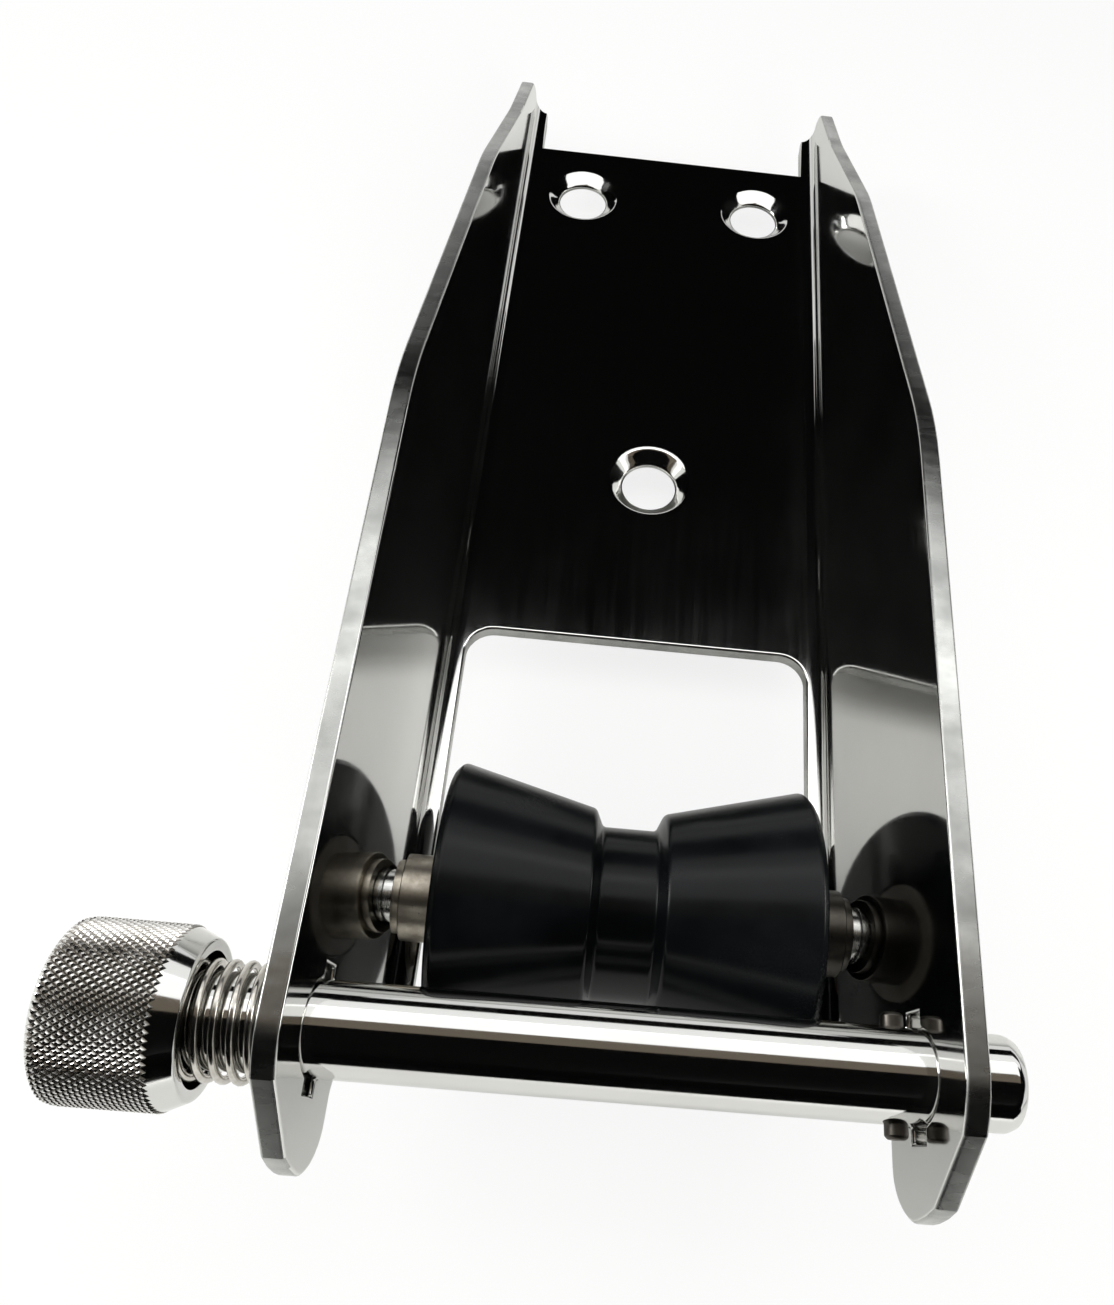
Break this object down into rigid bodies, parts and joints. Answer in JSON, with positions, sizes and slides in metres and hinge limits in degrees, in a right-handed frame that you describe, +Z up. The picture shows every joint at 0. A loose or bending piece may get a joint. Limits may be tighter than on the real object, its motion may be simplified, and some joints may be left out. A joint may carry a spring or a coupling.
{
  "type": "bow roller",
  "caption": "Polished bow roller for a small boat: bent channel with leaning cheeks, waisted black roller on an axle, and a removable sprung retaining bar with a knurled knob.",
  "frame": {"origin": "centre of the middle bolt hole on the underside of the floor", "axes": "+Y along the channel towards the boat, +X to starboard, +Z up out of the floor; the roller is at the -Y end"},
  "size_m": [0.1206, 0.239, 0.0524],
  "materials": {
    "polished_steel": "mirror polished stainless steel with fine handling marks",
    "brushed_steel": "turned and brushed stainless steel",
    "knurled_steel": "bright stainless steel with diamond knurling",
    "spring_steel": "drawn stainless spring wire",
    "roller_rubber": "semi-gloss black moulded rubber",
    "bush_nylon": "plain natural nylon"
  },
  "bodies": {
    "channel": {"channel": "polished_steel", "axle_sleeve": "brushed_steel", "axle_spacer_left": "polished_steel", "axle_spacer_right": "polished_steel", "axle_bolt": "polished_steel", "axle_washer_left": "polished_steel", "axle_washer_right": "polished_steel", "axle_nut": "polished_steel", "axle_nut_ring": "bush_nylon"},
    "roller": {"roller": "roller_rubber", "roller_bush_left": "bush_nylon", "roller_bush_right": "bush_nylon"},
    "washer": {"spring_washer": "polished_steel"},
    "spring": {"spring": "spring_steel"},
    "bar": {"retaining_bar": "polished_steel", "cross_pin": "polished_steel", "knob": "knurled_steel", "knob_screw": "polished_steel"}
  },
  "joints": [
    {"name": "roller_turn", "type": "hinge", "parent": "channel", "child": "roller", "pos_m": [0, -0.0901, 0.013], "axis": [1, 0, 0], "continuous": true},
    {"name": "pin_pull", "type": "slide", "parent": "channel", "child": "washer", "axis": [-1, 0, 0], "range_m": [0, 0.07]},
    {"name": "pin_turn", "type": "hinge", "parent": "washer", "child": "spring", "pos_m": [0, -0.112, 0.0316], "axis": [1, 0, 0], "continuous": true},
    {"name": "pin_push", "type": "slide", "parent": "spring", "child": "bar", "axis": [1, 0, 0], "range_m": [0, 0.00859], "stiffness_N_per_m": 1800, "deforming": ["spring"]}
  ]
}
